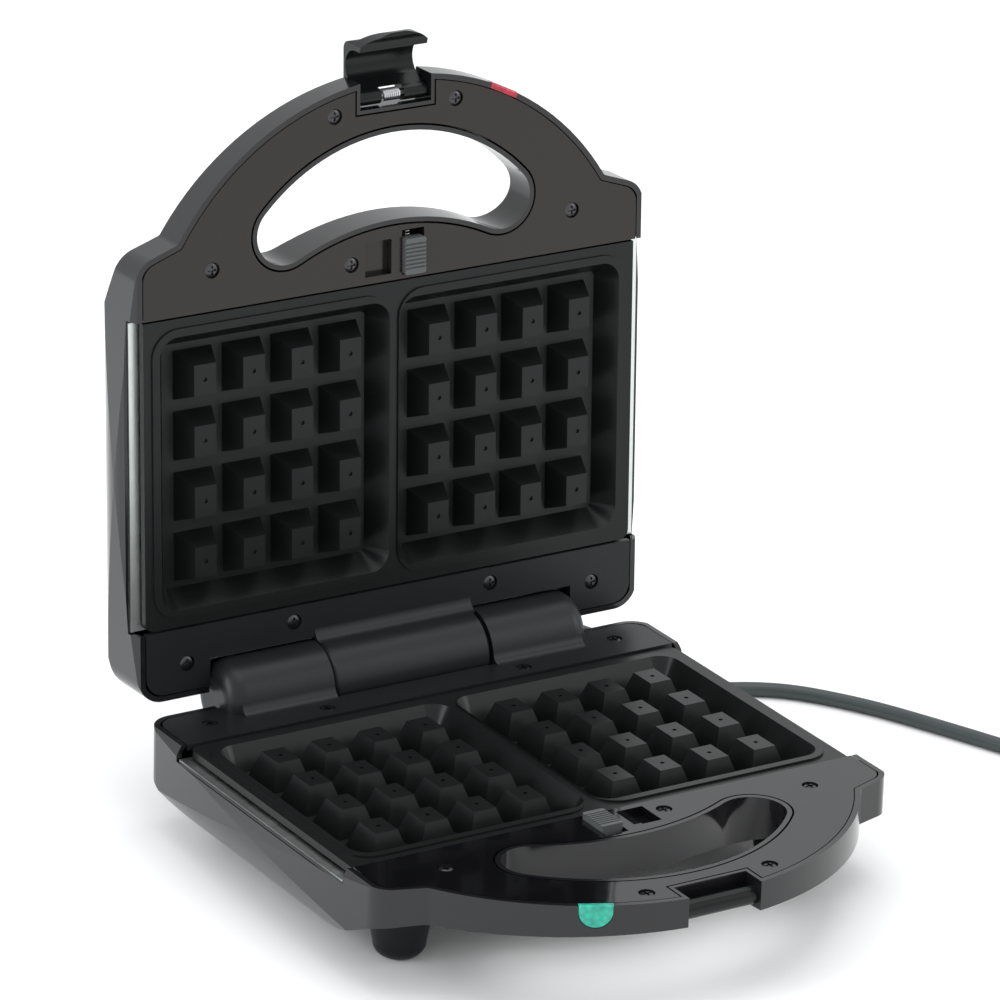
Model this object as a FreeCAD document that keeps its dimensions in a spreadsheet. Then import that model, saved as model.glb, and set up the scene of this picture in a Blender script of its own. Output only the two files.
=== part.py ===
"""A two-slice waffle maker: two hinged halves with removable cast plates, a latch and a mains lead.

Each half is drawn in its own frame. Its bezel plane is z = 0, the inside of the housing is below it,
+X is right and +Y points to the hinge. The base stands on its feet. The lid is the same half turned
over about Y and swung open about the hinge.
"""
import FreeCAD
import Part
import Sketcher
import math
import os

TURN = 360.0
RIGHT_ANGLE = 90.0

# Driving dimensions in millimetres and degrees.
DIMENSIONS = {
    # assembly
    "bezel_height": 44.0,
    "frame_shift": 2.8,
    "closed_gap": 2.4,
    "open_angle": 92.0,
    "running_gap": 0.3,
    # plan of a half
    "half_width": 113.3,
    "side_bulge": 4.0,
    "rear_edge": 91.8,
    "rear_corner": 10.5,
    "shoulder_depth": 86.2,
    "shoulder_corner": 10.0,
    "root_half_width": 95.6,
    "root_depth": 92.4,
    "root_corner": 2.5,
    "handle_radius": 112.2,
    # section of a half
    "belly_depth": 38.0,
    "belly_radius": 200.0,
    "belly_centre": 8.0,
    "belly_front": 78.0,
    "handle_tip": 150.0,
    "handle_end_depth": 10.5,
    "handle_sweep_radius": 40.0,
    "side_round": 25.0,
    "rear_round": 10.0,
    "wall": 2.2,
    "blank_depth": 40.0,
    "side_step": 6.0,
    # finger opening
    "opening_apex": 123.6,
    "opening_radius": 79.2,
    "lobe_radius": 12.7,
    "lobe_offset": 48.5,
    "hump_radius": 97.3,
    # notch for the latch
    "notch_half_width": 15.8,
    "notch_floor": 134.0,
    # bezels
    "bezel_inset": 2.6,
    "bezel_thickness": 2.5,
    "front_bezel_edge": 63.8,
    "rear_bezel_edge": 63.3,
    "slot_inner": 1.6,
    "slot_width": 11.8,
    "slot_front": 80.7,
    "slot_back": 66.6,
    "slot_depth": 3.5,
    "button_inner": 3.4,
    "button_width": 9.4,
    "button_front": 80.2,
    "button_back": 65.6,
    "button_rise": 2.3,
    "button_body": 6.0,
    "button_stroke": 3.0,
    "stem_front": 76.0,
    "stem_back": 70.0,
    "spring_wall": 84.0,
    "rib_height": 0.6,
    "rib_pitch": 1.6,
    "spring_radius": 1.5,
    "spring_wire": 0.35,
    # hinge
    "hinge_edge": 94.8,
    "hinge_rise": 1.2,
    "barrel_radius": 16.0,
    "barrel_half_width": 35.7,
    "hinge_side_gap": 0.6,
    "knuckle_end": 82.0,
    "knuckle_round": 7.0,
    "barrel_clearance": 1.0,
    "pin_radius": 3.0,
    "pin_fit": 0.04,
    "pin_inner": 24.0,
    "pin_outer": 60.0,
    "blend_radius": 5.0,
    # waffle plate
    "plate_half_width": 110.4,
    "plate_half_depth": 62.7,
    "plate_top": 1.0,
    "plate_flange": 3.0,
    "plate_corner": 4.0,
    "bead_height": 0.8,
    "bead_width": 3.2,
    "cavity_inner": 2.0,
    "cavity_outer": 103.6,
    "cavity_half_depth": 55.6,
    "cavity_corner": 8.0,
    "cavity_floor": 10.0,
    "cavity_draft": 31.0,
    "plate_skin": 3.0,
    "lip_reach": 5.0,
    "cell_pitch_across": 21.46,
    "cell_pitch_along": 24.69,
    "cell_inner": 20.1,
    "cell_width": 16.8,
    "cell_depth": 19.8,
    "cell_draft": 19.0,
    "cell_rise": 0.6,
    "dimple_radius": 0.9,
    "dimple_depth": 0.8,
    # heat and electrics
    "pan_flange": 114.6,
    "pan_half_width": 104.0,
    "pan_half_depth": 59.0,
    "pan_floor": 22.3,
    "pan_sheet": 0.8,
    "element_radius": 3.3,
    "element_half_width": 84.0,
    "element_half_depth": 36.0,
    "element_bend": 16.0,
    "element_level": 16.8,
    "terminal_across": 14.0,
    "terminal_radius": 1.6,
    "clamp_width": 10.0,
    "rest_radius": 1.2,
    "thermostat_radius": 8.0,
    "fuse_radius": 2.0,
    "terminal_block": 22.0,
    # feet
    "foot_top_radius": 13.5,
    "foot_bottom_radius": 10.2,
    "foot_round": 6.0,
    "foot_depth": 24.0,
    "foot_peg_radius": 3.0,
    # latch
    "latch_pivot_edge": 137.5,
    "latch_pivot_depth": 5.0,
    "latch_half_width": 15.0,
    "latch_hub_radius": 3.1,
    "latch_spring_room": 5.0,
    "thumb_edge": 21.0,
    "thumb_tip": 26.6,
    "latch_pin_radius": 1.5,
    "catch_edge": 139.5,
    "catch_depth": 7.2,
    "catch_radius": 3.6,
    # lamp lens
    "lens_across": 49.0,
    "lens_half_width": 6.5,
    "lens_straight": 2.5,
    "lens_thickness": 2.4,
    # screws
    "screw_head_radius": 3.0,
    "screw_shank_radius": 1.5,
    "screw_length": 7.0,
    "screw_sink": 1.2,
    "screw_head_height": 0.9,
    "boss_radius": 4.2,
    # mains lead
    "cord_radius": 3.0,
    "relief_along": 90.0,
    "relief_depth": 12.0,
    "relief_length": 27.0,
    "relief_base_radius": 5.4,
    "relief_tip_radius": 3.5,
    "coil_middle_radius": 33.0,
    "coil_half_width": 6.0,
    "coil_height": 12.0,
    "tie_width": 8.0,
    "plug_length": 38.0,
    "plug_width": 26.0,
    "plug_height": 14.0,
    "plug_pin_across": 9.0,
    "plug_pin_radius": 2.0,
    "plug_pin_length": 18.0,
}

# Screw places on a half: right-hand ones are mirrored to the left where "both" is set.
FRONT_SCREWS = [(80.8, -80.0, "both"), (27.0, -133.2, "both"), (19.4, -72.7, "one")]
REAR_SCREWS = [(92.7, 78.0, "both"), (44.9, 69.8, "both")]

# The free stretch of the mains lead, from the strain relief to the coil, in the base's own frame.
# Its height is above the floor.
CORD_ROUTE = [
    (91.0, 133.0, 29.0),
    (102.0, 146.0, 24.0),
    (118.0, 147.0, 18.0),
    (131.0, 137.0, 12.5),
    (139.0, 122.0, 8.0),
    (145.0, 106.0, 5.0),
    (155.0, 95.0, 3.1),
    (169.0, 89.0, 3.0),
    (182.0, 79.0, 3.0),
    (193.0, 64.0, 3.0),
    (203.0, 47.0, 3.0),
    (211.0, 29.0, 3.0),
    (219.0, 10.0, 3.0),
    (227.0, -10.0, 3.0),
    (236.0, -29.0, 3.0),
    (244.0, -43.0, 3.0),
]
FOOT_PLACES = [(85.5, -56.0, "front_right"), (-85.5, -56.0, "front_left"), (85.5, 66.0, "rear_right"),
               (-85.5, 66.0, "rear_left")]
COIL_CENTRE = (275.0, -30.0)

# The latch seen from the side, from the hub outwards: distance from the pivot along the latch, distance
# across it, and the bend of the arc that leaves the corner. The first hollow takes the catch bar.
LATCH_PROFILE = [
    (-6.0, -5.2, -7.2), (-18.9, -1.0), (-18.9, 3.0), (-20.4, 3.4, -7.0), (-24.9, 7.8), (-26.4, 7.2, 12.0),
    (-22.8, -1.5), (-21.6, -5.8, 3.9), (-17.6, -9.4), (-6.4, -9.4),
]

document = FreeCAD.newDocument("WaffleMaker")
sheet = document.addObject("Spreadsheet::Sheet", "Dimensions")


class Size:
    """A number together with the sheet expression that drives it."""

    def __init__(self, value, text):
        self.value = value
        self.text = text

    @staticmethod
    def of(other):
        return other if isinstance(other, Size) else Size(float(other), repr(float(other)))

    def __add__(self, other):
        other = Size.of(other)
        return Size(self.value + other.value, f"({self.text} + {other.text})")

    def __sub__(self, other):
        other = Size.of(other)
        return Size(self.value - other.value, f"({self.text} - {other.text})")

    def __mul__(self, other):
        other = Size.of(other)
        return Size(self.value * other.value, f"({self.text} * {other.text})")

    def __truediv__(self, other):
        other = Size.of(other)
        return Size(self.value / other.value, f"({self.text} / {other.text})")

    def __neg__(self):
        return Size(-self.value, f"(0 - {self.text})")

    __radd__ = __add__

    def __rsub__(self, other):
        return Size.of(other) - self

    def __rmul__(self, other):
        return self * other


def fill_sheet():
    """Writes the driving dimensions to the sheet and returns them as sizes."""
    sizes = {}
    for row, (alias, number) in enumerate(DIMENSIONS.items(), start=1):
        sheet.set(f"A{row}", alias)
        sheet.set(f"B{row}", str(number))
        sheet.setAlias(f"B{row}", alias)
        sizes[alias] = Size(number, f"Dimensions.{alias}")
    document.recompute()
    return sizes


D = fill_sheet()


def square_root(size):
    return Size(math.sqrt(size.value), f"sqrt({size.text})")


def drive(target, **sizes):
    """Binds each named property of an object to its size."""
    for name, size in sizes.items():
        size = Size.of(size)
        path = name.replace("__", ".")
        target.setExpression(path, size.text)
        if "." not in path:
            setattr(target, name, size.value)


def place(target, x=0.0, y=0.0, z=0.0, axis=(0, 0, 1), angle=0.0):
    """Sets an object's placement and binds its position to the sheet."""
    x, y, z, angle = Size.of(x), Size.of(y), Size.of(z), Size.of(angle)
    turn = FreeCAD.Rotation(FreeCAD.Vector(*axis), angle.value)
    target.Placement = FreeCAD.Placement(FreeCAD.Vector(x.value, y.value, z.value), turn)
    target.setExpression("Placement.Base.x", x.text)
    target.setExpression("Placement.Base.y", y.text)
    target.setExpression("Placement.Base.z", z.text)


def new_body(label):
    body = document.addObject("PartDesign::Body", label)
    body.Label = label
    return body


def origin_plane(body, role):
    for feature in body.Origin.OriginFeatures:
        if feature.Role == role:
            return feature
    raise RuntimeError(f"{body.Label} has no {role}")


def new_sketch(body, name, role, offset=0.0):
    """A sketch on one of the body's own origin planes, moved along the plane's normal by offset."""
    sketch = body.newObject("Sketcher::SketchObject", f"{body.Name}_{name}")
    sketch.AttachmentSupport = (origin_plane(body, role), [""])
    sketch.MapMode = "FlatFace"
    offset = Size.of(offset)
    sketch.AttachmentOffset.Base.z = offset.value
    sketch.setExpression("AttachmentOffset.Base.z", offset.text)
    return sketch


def fix_point(sketch, geometry, position, x, y):
    """Ties a point of the sketch to its two coordinates."""
    for kind, size, axis in (("DistanceX", x, -2), ("DistanceY", y, -1)):
        if abs(size.value) < 1e-9:
            sketch.addConstraint(Sketcher.Constraint("PointOnObject", geometry, position, axis))
        else:
            index = sketch.addConstraint(Sketcher.Constraint(kind, -1, 1, geometry, position, size.value))
            sketch.setExpression(f"Constraints[{index}]", size.text)


def arc_between(start, end, radius):
    """The shorter arc from start to end. A positive radius has its centre on the left of the travel."""
    middle = (start + end) * 0.5
    chord = end - start
    reach = math.sqrt(max(radius * radius - chord.Length ** 2 / 4.0, 0.0))
    left = FreeCAD.Vector(-chord.y, chord.x, 0.0).normalize()
    centre = middle + left * math.copysign(reach, radius)
    circle = Part.Circle(centre, FreeCAD.Vector(0, 0, 1), abs(radius))
    ends = (start, end) if radius > 0 else (end, start)
    first, last = [math.atan2(point.y - centre.y, point.x - centre.x) for point in ends]
    return Part.ArcOfCircle(circle, first, last)


def draw_loop(sketch, corners):
    """Adds a closed outline. Each corner is (x, y) or (x, y, bend): bend is the signed radius of the
    arc that leaves that corner."""
    points = [(Size.of(corner[0]), Size.of(corner[1])) for corner in corners]
    bends = [Size.of(corner[2]) if len(corner) > 2 else None for corner in corners]
    vectors = [FreeCAD.Vector(x.value, y.value, 0.0) for x, y in points]
    first = sketch.GeometryCount
    count = len(corners)
    start_points = []
    end_points = []
    for i in range(count):
        start, end = vectors[i], vectors[(i + 1) % count]
        if bends[i] is None:
            index = sketch.addGeometry(Part.LineSegment(start, end), False)
            start_points.append((index, 1))
            end_points.append((index, 2))
            continue
        index = sketch.addGeometry(arc_between(start, end, bends[i].value), False)
        forward = bends[i].value > 0
        start_points.append((index, 1 if forward else 2))
        end_points.append((index, 2 if forward else 1))
        size = bends[i] if forward else -bends[i]
        constraint = sketch.addConstraint(Sketcher.Constraint("Radius", index, size.value))
        sketch.setExpression(f"Constraints[{constraint}]", size.text)
    for i in range(count):
        ending, starting = end_points[i - 1], start_points[i]
        sketch.addConstraint(Sketcher.Constraint("Coincident", *ending, *starting))
        fix_point(sketch, *starting, *points[i])
    return first


def draw_rectangle(sketch, left, right, low, high):
    draw_loop(sketch, [(left, low), (right, low), (right, high), (left, high)])


def draw_circle(sketch, x, y, radius):
    x, y, radius = Size.of(x), Size.of(y), Size.of(radius)
    centre = FreeCAD.Vector(x.value, y.value, 0.0)
    index = sketch.addGeometry(Part.Circle(centre, FreeCAD.Vector(0, 0, 1), radius.value), False)
    constraint = sketch.addConstraint(Sketcher.Constraint("Radius", index, radius.value))
    sketch.setExpression(f"Constraints[{constraint}]", radius.text)
    fix_point(sketch, index, 3, x, y)


def volume_of(body):
    body.recompute(True)
    return body.Shape.Volume


def add_feature(body, kind, name, sketch, **sizes):
    """Adds a sketched feature, sets its options and sizes, and returns it."""
    feature = body.newObject(f"PartDesign::{kind}", f"{body.Name}_{name}")
    feature.Profile = sketch
    for option in ("Reversed", "Midplane", "Type"):
        if option in sizes:
            setattr(feature, option, sizes.pop(option))
    drive(feature, **sizes)
    return feature


def pad(body, name, sketch, **sizes):
    before = volume_of(body) if body.Tip else 0.0
    feature = add_feature(body, "Pad", name, sketch, **sizes)
    if volume_of(body) <= before:
        raise RuntimeError(f"{feature.Name} adds nothing")
    return feature


def pocket(body, name, sketch, **sizes):
    before = volume_of(body)
    feature = add_feature(body, "Pocket", name, sketch, **sizes)
    if volume_of(body) >= before:
        raise RuntimeError(f"{feature.Name} cuts nothing")
    return feature


def edges_where(feature, test):
    """Names of the feature's edges whose middle and direction pass the test."""
    names = []
    for number, edge in enumerate(feature.Shape.Edges, start=1):
        middle = edge.valueAt((edge.FirstParameter + edge.LastParameter) / 2.0)
        along = edge.tangentAt((edge.FirstParameter + edge.LastParameter) / 2.0)
        if test(edge, middle, along):
            names.append(f"Edge{number}")
    return names


def fillet(body, name, base, test, radius):
    body.recompute(True)
    names = edges_where(base, test)
    if not names:
        raise RuntimeError(f"{name} finds no edges")
    feature = body.newObject("PartDesign::Fillet", f"{body.Name}_{name}")
    feature.Base = (base, names)
    drive(feature, Radius=radius)
    body.recompute(True)
    if "Invalid" in feature.State:
        raise RuntimeError(f"{feature.Name} cannot be rounded")
    return feature


def upright_near(*places):
    """A test for upright edges that stand near one of the given (|x|, y) places."""
    def test(edge, middle, along):
        if abs(along.z) < 0.99:
            return False
        return any(abs(abs(middle.x) - x) < 1.0 and abs(middle.y - y) < 1.0 for x, y in places)
    return test


def joined(label, kind, shapes):
    """A Part boolean of several objects under one label."""
    result = document.addObject(f"Part::{kind}", label)
    result.Label = label
    if kind == "Cut":
        result.Base, result.Tool = shapes
    else:
        result.Shapes = shapes
    document.recompute()
    return result


def rod(label, radius, length, x, y, z, axis=(0, 1, 0), angle=RIGHT_ANGLE):
    """A Part cylinder. It lies along X unless another turn is given."""
    cylinder = document.addObject("Part::Cylinder", label)
    cylinder.Label = label
    drive(cylinder, Radius=radius, Height=length)
    place(cylinder, x, y, z, axis, angle)
    return cylinder


def block(label, width, depth, height, x, y, z):
    box = document.addObject("Part::Box", label)
    box.Label = label
    drive(box, Length=width, Width=depth, Height=height)
    place(box, x, y, z)
    return box


def sine(size):
    return Size(math.sin(math.radians(size.value)), f"sin({size.text})")


def cosine(size):
    return Size(math.cos(math.radians(size.value)), f"cos({size.text})")


D = type("Sizes", (), D)
HALVES = ("base", "lid")


def to_frame(half, x, y, z):
    """Carries a point of a half's own frame to the whole object's frame."""
    if half == "base":
        return x, y + D.frame_shift, z + D.bezel_height
    behind = y - D.hinge_edge
    above = D.closed_gap - z - D.hinge_rise
    c, s = cosine(D.open_angle), sine(D.open_angle)
    new_y = behind * c + above * s + D.hinge_edge + D.frame_shift
    new_z = above * c - behind * s + D.hinge_rise + D.bezel_height
    return -x, new_y, new_z


def seat(target, label, half, x=0.0, y=0.0, z=0.0, axis=(0, 0, 1), angle=0.0):
    """Names a finished piece and moves it from its half's own frame to the object's frame."""
    target.Label = label
    turn = FreeCAD.Rotation(FreeCAD.Vector(*axis), angle)
    if half == "lid":
        flip = FreeCAD.Rotation(FreeCAD.Vector(0, 1, 0), 180.0)
        turn = FreeCAD.Rotation(FreeCAD.Vector(1, 0, 0), -D.open_angle.value) * flip * turn
    x, y, z = to_frame(half, Size.of(x), Size.of(y), Size.of(z))
    target.Placement = FreeCAD.Placement(FreeCAD.Vector(x.value, y.value, z.value), turn)
    target.setExpression("Placement.Base.x", x.text)
    target.setExpression("Placement.Base.y", y.text)
    target.setExpression("Placement.Base.z", z.text)
    finished.append(target)


finished = []


def half_outline(inset, bowed=False):
    """Plan outline of a half, moved inwards by inset. A bowed outline has its long sides curved out."""
    side = D.half_width - inset
    rear = D.rear_edge - inset
    shoulder = inset * 0.707 - D.shoulder_depth
    root = D.root_half_width - inset * 0.667
    centre = square_root(D.handle_radius * D.handle_radius - D.root_half_width * D.root_half_width) - D.root_depth
    radius = D.handle_radius - inset
    root_y = centre - square_root(radius * radius - root * root)
    half_length = (rear - shoulder) / 2
    bow = (half_length * half_length + D.side_bulge * D.side_bulge) / (D.side_bulge * 2)
    bend = (bow,) if bowed else ()
    return [(side, rear), (-side, rear, *bend), (-side, shoulder), (-root, root_y, radius), (root, root_y),
            (side, shoulder, *bend)]


def round_outline(body, form, inset):
    """Rounds the upright edges of a slab made on the half's outline."""
    points = half_outline(inset)
    rear, shoulder, root = [(abs(x.value), y.value) for x, y in (points[0][:2], points[2][:2], points[4][:2])]
    form = fillet(body, "shoulders", form, upright_near(shoulder), D.shoulder_corner - inset)
    form = fillet(body, "roots", form, upright_near(root), D.root_corner)
    return fillet(body, "rear_corners", form, upright_near(rear), D.rear_corner - inset)


def draw_opening(sketch, grow):
    """The finger opening: a broad arc, two round ends and a hump, all grown outwards by grow."""
    outer = D.opening_radius + grow
    lobe = D.lobe_radius + grow
    hump = D.hump_radius - grow
    reach = D.opening_radius - D.lobe_radius
    outer_y = D.opening_radius - D.opening_apex
    drop = square_root(reach * reach - D.lobe_offset * D.lobe_offset)
    lobe_y = outer_y - drop
    span = D.hump_radius + D.lobe_radius
    rise = square_root(span * span - D.lobe_offset * D.lobe_offset)
    low = (D.lobe_offset * outer / reach, outer_y - drop * outer / reach)
    high = (D.lobe_offset - D.lobe_offset * lobe / span, lobe_y + rise * lobe / span)
    draw_loop(sketch, [(-low[0], low[1], outer), (low[0], low[1], lobe), (high[0], high[1], -hump),
                       (-high[0], high[1], lobe)])


def draw_belly(sketch, inset):
    """The region under the belly, seen from the side."""
    centre_y = D.belly_centre
    centre_z = D.belly_radius - D.belly_depth
    rear_y = D.rear_edge - D.rear_round
    fall = square_root((D.belly_radius - D.rear_round) * (D.belly_radius - D.rear_round)
                       - (rear_y - centre_y) * (rear_y - centre_y))
    rear_z = centre_z - fall
    share = (D.belly_radius - inset) / (D.belly_radius - D.rear_round)
    front = D.belly_front + centre_y
    drop = square_root(D.belly_radius * D.belly_radius - front * front)
    inner = (D.belly_radius - inset) / D.belly_radius
    outer = (D.belly_radius + D.handle_sweep_radius) / D.belly_radius
    sweep = D.handle_sweep_radius + inset
    beyond = D.handle_tip * 1.1
    far = D.belly_depth * 2
    draw_loop(sketch, [
        (D.rear_edge - inset, rear_z, inset - D.rear_round),
        (centre_y + (rear_y - centre_y) * share, centre_z + (rear_z - centre_z) * share,
         inset - D.belly_radius),
        (centre_y - front * inner, centre_z - drop * inner, sweep),
        (centre_y - front * outer, centre_z - drop * outer + sweep),
        (-beyond, inset - D.handle_end_depth), (-beyond, -far),
        (D.rear_edge * 1.2, -far), (D.rear_edge * 1.2, rear_z)])


def draw_flank(sketch, inset, side):
    """The region outside one long side, seen from the front. side is 1 or -1."""
    widest = D.half_width + D.side_bulge
    level = D.belly_depth - D.side_round
    upper = (D.side_bulge * D.side_bulge + level * level) / (D.side_bulge * 2)
    far = D.belly_depth * 2
    beyond = widest * 1.2
    corners = [(D.half_width - inset, Size.of(0), (inset - upper) * side),
               (widest - inset, -level, (inset - D.side_round) * side),
               (widest - D.side_round, inset - D.belly_depth),
               (widest - D.side_round, -far), (beyond, -far), (beyond, Size.of(0))]
    draw_loop(sketch, [(corner[0] * side, *corner[1:]) for corner in corners])


def half_form(label, inset):
    """A solid with the outer shape of a half, moved inwards by inset."""
    inset = Size.of(inset)
    body = new_body(label)
    plan = new_sketch(body, "plan", "XY_Plane")
    draw_loop(plan, half_outline(inset, bowed=True))
    form = pad(body, "block", plan, Reversed=True, Length=D.blank_depth)
    round_outline(body, form, inset)
    belly = new_sketch(body, "belly", "YZ_Plane", -D.half_width * 1.5)
    draw_belly(belly, inset)
    pocket(body, "under", belly, Reversed=True, Length=D.half_width * 3)
    for side, name in ((1, "right"), (-1, "left")):
        flank = new_sketch(body, name, "XZ_Plane", -D.handle_tip * 1.5)
        draw_flank(flank, inset, side)
        pocket(body, f"flank_{name}", flank, Reversed=True, Length=D.handle_tip * 3)
    return body


def prism(label, draw, depth):
    """A column under z = 0 with the outline that draw makes."""
    body = new_body(label)
    sketch = new_sketch(body, "outline", "XY_Plane", 1.0)
    draw(sketch)
    pad(body, "column", sketch, Reversed=True, Length=Size.of(depth) + 1.0)
    return body


def screw_places(group):
    places = []
    for x, y, sides in group:
        places.append((x, y))
        if sides == "both":
            places.append((-x, y))
    return places


def hinge_rod(label, radius, half_length):
    """A cylinder about the hinge axis, drawn in a half's own frame."""
    return rod(label, radius, half_length * 2, -half_length, D.hinge_edge, D.hinge_rise)


def make_housing(half):
    """The moulded shell of a half: walls, handle, tube of the finger opening, latch notch and bosses."""
    outer = half_form(f"{half}_outer_form", 0)
    core = half_form(f"{half}_core_form", D.wall)
    deep = D.blank_depth + 2
    tube_wall = D.wall - 0.3
    notch_wall = D.wall - 0.7
    tube = prism(f"{half}_tube", lambda sketch: draw_opening(sketch, tube_wall), deep)
    notch_side = D.notch_half_width + notch_wall
    notch_lining = block(f"{half}_notch_lining", notch_side * 2, 30, deep, -notch_side,
                         notch_wall - D.notch_floor - 30, -deep)
    screws = screw_places(FRONT_SCREWS + REAR_SCREWS)
    bosses = []
    pilots = []
    for number, (x, y) in enumerate(screws):
        bosses.append(rod(f"{half}_boss_{number}", D.boss_radius, deep, x, y, -deep, angle=0))
        pilots.append(rod(f"{half}_pilot_{number}", D.screw_shank_radius + D.pin_fit, D.screw_length * 1.3,
                          x, y, -D.screw_length * 1.3, angle=0))
    trough = hinge_rod(f"{half}_trough", D.barrel_radius + D.barrel_clearance + D.wall,
                       D.knuckle_end + D.barrel_clearance + D.wall)
    kept = joined(f"{half}_kept", "MultiFuse", [tube, notch_lining, trough, *bosses])
    hollow = joined(f"{half}_hollow", "Cut", [core, kept])
    shell = joined(f"{half}_shell", "Cut", [outer, hollow])

    seat_plan = prism(f"{half}_seat_plan", lambda sketch: draw_loop(sketch, half_outline(D.wall)),
                      D.bezel_thickness + 0.05)
    round_outline(seat_plan, seat_plan.Tip, D.wall)
    seat_stays = joined(f"{half}_seat_stays", "MultiFuse", [tube, notch_lining])
    bezel_seat = joined(f"{half}_bezel_seat", "Cut", [seat_plan, seat_stays])
    opening = prism(f"{half}_opening", lambda sketch: draw_opening(sketch, 0), deep)
    notch = block(f"{half}_notch", D.notch_half_width * 2, 30, deep + 1, -D.notch_half_width,
                  -D.notch_floor - 30, -deep)
    barrel_room = hinge_rod(f"{half}_barrel_room", D.barrel_radius + D.barrel_clearance,
                            D.knuckle_end + D.barrel_clearance)
    step = block(f"{half}_side_step", D.half_width * 3, D.front_bezel_edge + D.rear_bezel_edge,
                 D.side_step + 1, -D.half_width * 1.5, -D.front_bezel_edge, -D.side_step)
    lens_hole = make_lens_blank(f"{half}_lens_hole", D.pin_fit, D.lens_thickness + 4)
    place_lens(lens_hole)
    cutters = [bezel_seat, opening, notch, barrel_room, step, lens_hole, *pilots]
    if half == "base":
        for x, y, name in FOOT_PLACES:
            cutters.append(rod(f"peg_hole_{name}", D.foot_peg_radius + D.pin_fit, D.blank_depth, x, y,
                               -D.blank_depth, angle=0))
        cutters.append(rod("catch_bar_hole", D.catch_radius + D.pin_fit, notch_side * 2 - 0.8,
                           0.4 - notch_side, -D.catch_edge, -D.catch_depth))
        cutters.append(rod("lead_hole", D.relief_base_radius + D.pin_fit, D.wall * 4, D.relief_along,
                           D.rear_edge - D.wall * 3, -D.relief_depth, (1, 0, 0), -RIGHT_ANGLE))
    else:
        cutters.append(rod("latch_pin_hole", D.latch_pin_radius + D.pin_fit, notch_side * 2 - 0.8,
                           0.4 - notch_side, -D.latch_pivot_edge, -D.latch_pivot_depth))
    tools = joined(f"{half}_cutters", "MultiFuse", cutters)
    housing = document.addObject("Part::Cut", f"{half}_housing_shape")
    housing.Base = shell
    housing.Tool = tools
    seat(housing, f"{half}_housing", half)
    document.recompute()
    return outer


def make_lens_blank(label, grow, thickness):
    """A D-shaped slab facing -Y with its flat side on top."""
    body = new_body(label)
    sketch = new_sketch(body, "outline", "XZ_Plane", -Size.of(thickness) / 2)
    side = D.lens_half_width + grow
    draw_loop(sketch, [(-side, Size.of(0)), (-side, -D.lens_straight, side),
                       (Size.of(0), -D.lens_straight - side, side), (side, -D.lens_straight),
                       (side, Size.of(0))])
    pad(body, "slab", sketch, Length=thickness)
    return body


def lens_spot():
    """Where the lens sits in the handle's wall, and how far it is turned."""
    centre = square_root(D.handle_radius * D.handle_radius - D.root_half_width * D.root_half_width)
    reach = D.handle_radius - D.wall / 2
    y = centre - D.root_depth - square_root(reach * reach - D.lens_across * D.lens_across)
    return -D.lens_across, y, math.degrees(math.asin(-D.lens_across.value / reach.value))


def place_lens(body):
    x, y, angle = lens_spot()
    place(body, x, y, 0.0, angle=angle)


def make_lens(half, colour):
    body = make_lens_blank(f"{colour}_lens_body", 0, D.lens_thickness)
    fillet(body, "rim", body.Tip, lambda edge, middle, along: middle.y < -1.0 and abs(along.y) < 0.1, 0.8)
    x, y, angle = lens_spot()
    seat(body, f"{colour}_lens", half, x, y, 0.0, angle=angle)
    lamp = new_body(f"{half}_lamp_body")
    sketch = new_sketch(lamp, "outline", "XZ_Plane", -D.lens_thickness * 5)
    draw_circle(sketch, 0, -D.lens_half_width, D.lens_half_width / 2)
    bulb = pad(lamp, "bulb", sketch, Length=D.lens_thickness * 4)
    fillet(lamp, "glass", bulb, lambda edge, middle, along: edge.Closed, D.lens_half_width / 6)
    seat(lamp, f"{half}_lamp", half, x, y, 0.0, angle=angle)


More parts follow.
